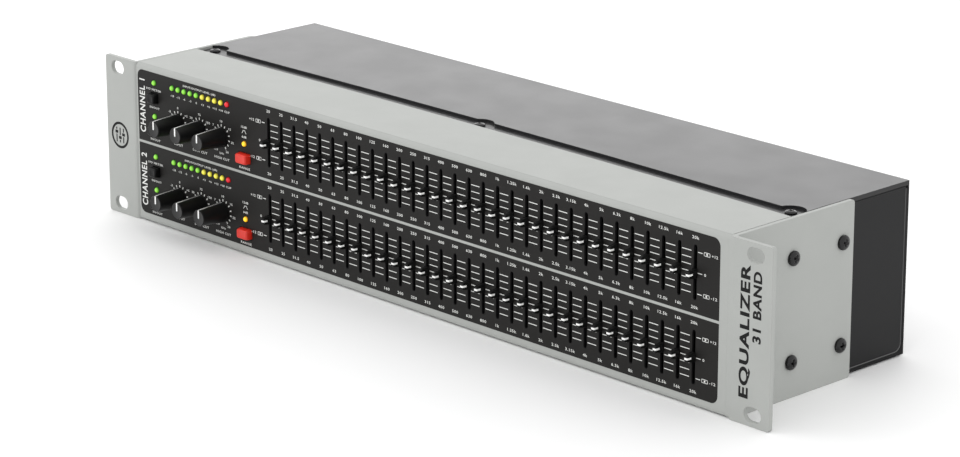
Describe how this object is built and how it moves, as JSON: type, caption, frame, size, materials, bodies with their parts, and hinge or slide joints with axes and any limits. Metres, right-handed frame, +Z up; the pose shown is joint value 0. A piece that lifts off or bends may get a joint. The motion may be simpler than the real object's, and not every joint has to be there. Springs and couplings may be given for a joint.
{
  "type": "graphic equalizer",
  "caption": "Rack-mounting two-channel graphic equalizer with rows of slide faders, rotary knobs, push buttons, lamp meters and a folded metal case on two slotted brackets.",
  "frame": {"origin": "middle of the bottom of the whole object's box, on the surface that the rack brackets' lower edges stand on", "axes": "+X to the right seen from the front, along the 19-inch width; -Y is the front with the controls; +Z up"},
  "size_m": [0.4826, 0.148, 0.0881],
  "materials": {
    "silver_paint": "fine-textured satin silver-grey paint",
    "black_paint": "satin black paint",
    "black_plastic": "moulded satin",
    "red_plastic": "moulded satin",
    "circuit_board": "solder mask",
    "lamp_plastic": "tinted lens",
    "connector_metal": "nickel plated",
    "transformer_steel": "varnished laminations"
  },
  "bodies": {
    "case": {"front_panel": "silver_paint", "chassis_tray": "black_paint", "top_cover": "black_paint", "left_rack_bracket": "silver_paint", "right_rack_bracket": "silver_paint", "rear_plate": "black_paint", "fader_board": "circuit_board", "lamp_strips": "lamp_plastic", "balanced_connectors_1": "connector_metal", "balanced_connectors_2": "connector_metal", "line_jacks_1": "connector_metal", "line_jacks_2": "connector_metal", "control_board": "circuit_board", "main_board": "circuit_board", "power_transformer": "transformer_steel", "power_entry": "black_plastic"},
    "knob_input_1": {"knob_input_1": "black_plastic"},
    "knob_low_cut_1": {"knob_low_cut_1": "black_plastic"},
    "knob_high_cut_1": {"knob_high_cut_1": "black_plastic"},
    "knob_input_2": {"knob_input_2": "black_plastic"},
    "knob_low_cut_2": {"knob_low_cut_2": "black_plastic"},
    "knob_high_cut_2": {"knob_high_cut_2": "black_plastic"},
    "button_meter_1": {"button_meter_1": "black_plastic"},
    "button_bypass_1": {"button_bypass_1": "black_plastic"},
    "button_range_1": {"button_range_1": "red_plastic"},
    "button_meter_2": {"button_meter_2": "black_plastic"},
    "button_bypass_2": {"button_bypass_2": "black_plastic"},
    "button_range_2": {"button_range_2": "red_plastic"},
    "power_rocker": {"power_rocker": "black_plastic"},
    "fader_pair_01": {"fader_pair_01": "black_plastic"},
    "fader_pair_02": {"fader_pair_02": "black_plastic"},
    "fader_pair_03": {"fader_pair_03": "black_plastic"},
    "fader_pair_04": {"fader_pair_04": "black_plastic"},
    "fader_pair_05": {"fader_pair_05": "black_plastic"},
    "fader_pair_06": {"fader_pair_06": "black_plastic"},
    "fader_pair_07": {"fader_pair_07": "black_plastic"},
    "fader_pair_08": {"fader_pair_08": "black_plastic"},
    "fader_pair_09": {"fader_pair_09": "black_plastic"},
    "fader_pair_10": {"fader_pair_10": "black_plastic"},
    "fader_pair_11": {"fader_pair_11": "black_plastic"},
    "fader_pair_12": {"fader_pair_12": "black_plastic"},
    "fader_pair_13": {"fader_pair_13": "black_plastic"},
    "fader_pair_14": {"fader_pair_14": "black_plastic"},
    "fader_pair_15": {"fader_pair_15": "black_plastic"},
    "fader_pair_16": {"fader_pair_16": "black_plastic"},
    "fader_pair_17": {"fader_pair_17": "black_plastic"},
    "fader_pair_18": {"fader_pair_18": "black_plastic"},
    "fader_pair_19": {"fader_pair_19": "black_plastic"},
    "fader_pair_20": {"fader_pair_20": "black_plastic"},
    "fader_pair_21": {"fader_pair_21": "black_plastic"},
    "fader_pair_22": {"fader_pair_22": "black_plastic"},
    "fader_pair_23": {"fader_pair_23": "black_plastic"},
    "fader_pair_24": {"fader_pair_24": "black_plastic"},
    "fader_pair_25": {"fader_pair_25": "black_plastic"},
    "fader_pair_26": {"fader_pair_26": "black_plastic"},
    "fader_pair_27": {"fader_pair_27": "black_plastic"},
    "fader_pair_28": {"fader_pair_28": "black_plastic"},
    "fader_pair_29": {"fader_pair_29": "black_plastic"},
    "fader_pair_30": {"fader_pair_30": "black_plastic"},
    "fader_pair_31": {"fader_pair_31": "black_plastic"}
  },
  "joints": [
    {"name": "knob_input_1_turn", "type": "hinge", "parent": "case", "child": "knob_input_1", "pos_m": [-0.18, -0.057, 0.061], "axis": [0, 1, 0], "range_deg": [-150, 150]},
    {"name": "knob_low_cut_1_turn", "type": "hinge", "parent": "case", "child": "knob_low_cut_1", "pos_m": [-0.162, -0.057, 0.061], "axis": [0, 1, 0], "range_deg": [-150, 150]},
    {"name": "knob_high_cut_1_turn", "type": "hinge", "parent": "case", "child": "knob_high_cut_1", "pos_m": [-0.144, -0.057, 0.061], "axis": [0, 1, 0], "range_deg": [-150, 150]},
    {"name": "knob_input_2_turn", "type": "hinge", "parent": "case", "child": "knob_input_2", "pos_m": [-0.18, -0.057, 0.01995], "axis": [0, 1, 0], "range_deg": [-150, 150]},
    {"name": "knob_low_cut_2_turn", "type": "hinge", "parent": "case", "child": "knob_low_cut_2", "pos_m": [-0.162, -0.057, 0.01995], "axis": [0, 1, 0], "range_deg": [-150, 150]},
    {"name": "knob_high_cut_2_turn", "type": "hinge", "parent": "case", "child": "knob_high_cut_2", "pos_m": [-0.144, -0.057, 0.01995], "axis": [0, 1, 0], "range_deg": [-150, 150]},
    {"name": "button_meter_1_press", "type": "slide", "parent": "case", "child": "button_meter_1", "axis": [0, 1, 0], "range_m": [0, 0.0015], "stiffness_N_per_m": 300},
    {"name": "button_bypass_1_press", "type": "slide", "parent": "case", "child": "button_bypass_1", "axis": [0, 1, 0], "range_m": [0, 0.0015], "stiffness_N_per_m": 300},
    {"name": "button_range_1_press", "type": "slide", "parent": "case", "child": "button_range_1", "axis": [0, 1, 0], "range_m": [0, 0.0015], "stiffness_N_per_m": 300},
    {"name": "button_meter_2_press", "type": "slide", "parent": "case", "child": "button_meter_2", "axis": [0, 1, 0], "range_m": [0, 0.0015], "stiffness_N_per_m": 300},
    {"name": "button_bypass_2_press", "type": "slide", "parent": "case", "child": "button_bypass_2", "axis": [0, 1, 0], "range_m": [0, 0.0015], "stiffness_N_per_m": 300},
    {"name": "button_range_2_press", "type": "slide", "parent": "case", "child": "button_range_2", "axis": [0, 1, 0], "range_m": [0, 0.0015], "stiffness_N_per_m": 300},
    {"name": "power_rocker_tilt", "type": "hinge", "parent": "case", "child": "power_rocker", "pos_m": [0.146, 0.0692, 0.044], "axis": [0, 0, -1], "range_deg": [0, 20]},
    {"name": "fader_pair_01_slide", "type": "slide", "parent": "case", "child": "fader_pair_01", "axis": [0, 0, 1], "range_m": [-0.01, 0.01]},
    {"name": "fader_pair_02_slide", "type": "slide", "parent": "case", "child": "fader_pair_02", "axis": [0, 0, 1], "range_m": [-0.01, 0.01]},
    {"name": "fader_pair_03_slide", "type": "slide", "parent": "case", "child": "fader_pair_03", "axis": [0, 0, 1], "range_m": [-0.01, 0.01]},
    {"name": "fader_pair_04_slide", "type": "slide", "parent": "case", "child": "fader_pair_04", "axis": [0, 0, 1], "range_m": [-0.01, 0.01]},
    {"name": "fader_pair_05_slide", "type": "slide", "parent": "case", "child": "fader_pair_05", "axis": [0, 0, 1], "range_m": [-0.01, 0.01]},
    {"name": "fader_pair_06_slide", "type": "slide", "parent": "case", "child": "fader_pair_06", "axis": [0, 0, 1], "range_m": [-0.01, 0.01]},
    {"name": "fader_pair_07_slide", "type": "slide", "parent": "case", "child": "fader_pair_07", "axis": [0, 0, 1], "range_m": [-0.01, 0.01]},
    {"name": "fader_pair_08_slide", "type": "slide", "parent": "case", "child": "fader_pair_08", "axis": [0, 0, 1], "range_m": [-0.01, 0.01]},
    {"name": "fader_pair_09_slide", "type": "slide", "parent": "case", "child": "fader_pair_09", "axis": [0, 0, 1], "range_m": [-0.01, 0.01]},
    {"name": "fader_pair_10_slide", "type": "slide", "parent": "case", "child": "fader_pair_10", "axis": [0, 0, 1], "range_m": [-0.01, 0.01]},
    {"name": "fader_pair_11_slide", "type": "slide", "parent": "case", "child": "fader_pair_11", "axis": [0, 0, 1], "range_m": [-0.01, 0.01]},
    {"name": "fader_pair_12_slide", "type": "slide", "parent": "case", "child": "fader_pair_12", "axis": [0, 0, 1], "range_m": [-0.01, 0.01]},
    {"name": "fader_pair_13_slide", "type": "slide", "parent": "case", "child": "fader_pair_13", "axis": [0, 0, 1], "range_m": [-0.01, 0.01]},
    {"name": "fader_pair_14_slide", "type": "slide", "parent": "case", "child": "fader_pair_14", "axis": [0, 0, 1], "range_m": [-0.01, 0.01]},
    {"name": "fader_pair_15_slide", "type": "slide", "parent": "case", "child": "fader_pair_15", "axis": [0, 0, 1], "range_m": [-0.01, 0.01]},
    {"name": "fader_pair_16_slide", "type": "slide", "parent": "case", "child": "fader_pair_16", "axis": [0, 0, 1], "range_m": [-0.01, 0.01]},
    {"name": "fader_pair_17_slide", "type": "slide", "parent": "case", "child": "fader_pair_17", "axis": [0, 0, 1], "range_m": [-0.01, 0.01]},
    {"name": "fader_pair_18_slide", "type": "slide", "parent": "case", "child": "fader_pair_18", "axis": [0, 0, 1], "range_m": [-0.01, 0.01]},
    {"name": "fader_pair_19_slide", "type": "slide", "parent": "case", "child": "fader_pair_19", "axis": [0, 0, 1], "range_m": [-0.01, 0.01]},
    {"name": "fader_pair_20_slide", "type": "slide", "parent": "case", "child": "fader_pair_20", "axis": [0, 0, 1], "range_m": [-0.01, 0.01]},
    {"name": "fader_pair_21_slide", "type": "slide", "parent": "case", "child": "fader_pair_21", "axis": [0, 0, 1], "range_m": [-0.01, 0.01]},
    {"name": "fader_pair_22_slide", "type": "slide", "parent": "case", "child": "fader_pair_22", "axis": [0, 0, 1], "range_m": [-0.01, 0.01]},
    {"name": "fader_pair_23_slide", "type": "slide", "parent": "case", "child": "fader_pair_23", "axis": [0, 0, 1], "range_m": [-0.01, 0.01]},
    {"name": "fader_pair_24_slide", "type": "slide", "parent": "case", "child": "fader_pair_24", "axis": [0, 0, 1], "range_m": [-0.01, 0.01]},
    {"name": "fader_pair_25_slide", "type": "slide", "parent": "case", "child": "fader_pair_25", "axis": [0, 0, 1], "range_m": [-0.01, 0.01]},
    {"name": "fader_pair_26_slide", "type": "slide", "parent": "case", "child": "fader_pair_26", "axis": [0, 0, 1], "range_m": [-0.01, 0.01]},
    {"name": "fader_pair_27_slide", "type": "slide", "parent": "case", "child": "fader_pair_27", "axis": [0, 0, 1], "range_m": [-0.01, 0.01]},
    {"name": "fader_pair_28_slide", "type": "slide", "parent": "case", "child": "fader_pair_28", "axis": [0, 0, 1], "range_m": [-0.01, 0.01]},
    {"name": "fader_pair_29_slide", "type": "slide", "parent": "case", "child": "fader_pair_29", "axis": [0, 0, 1], "range_m": [-0.01, 0.01]},
    {"name": "fader_pair_30_slide", "type": "slide", "parent": "case", "child": "fader_pair_30", "axis": [0, 0, 1], "range_m": [-0.01, 0.01]},
    {"name": "fader_pair_31_slide", "type": "slide", "parent": "case", "child": "fader_pair_31", "axis": [0, 0, 1], "range_m": [-0.01, 0.01]}
  ]
}
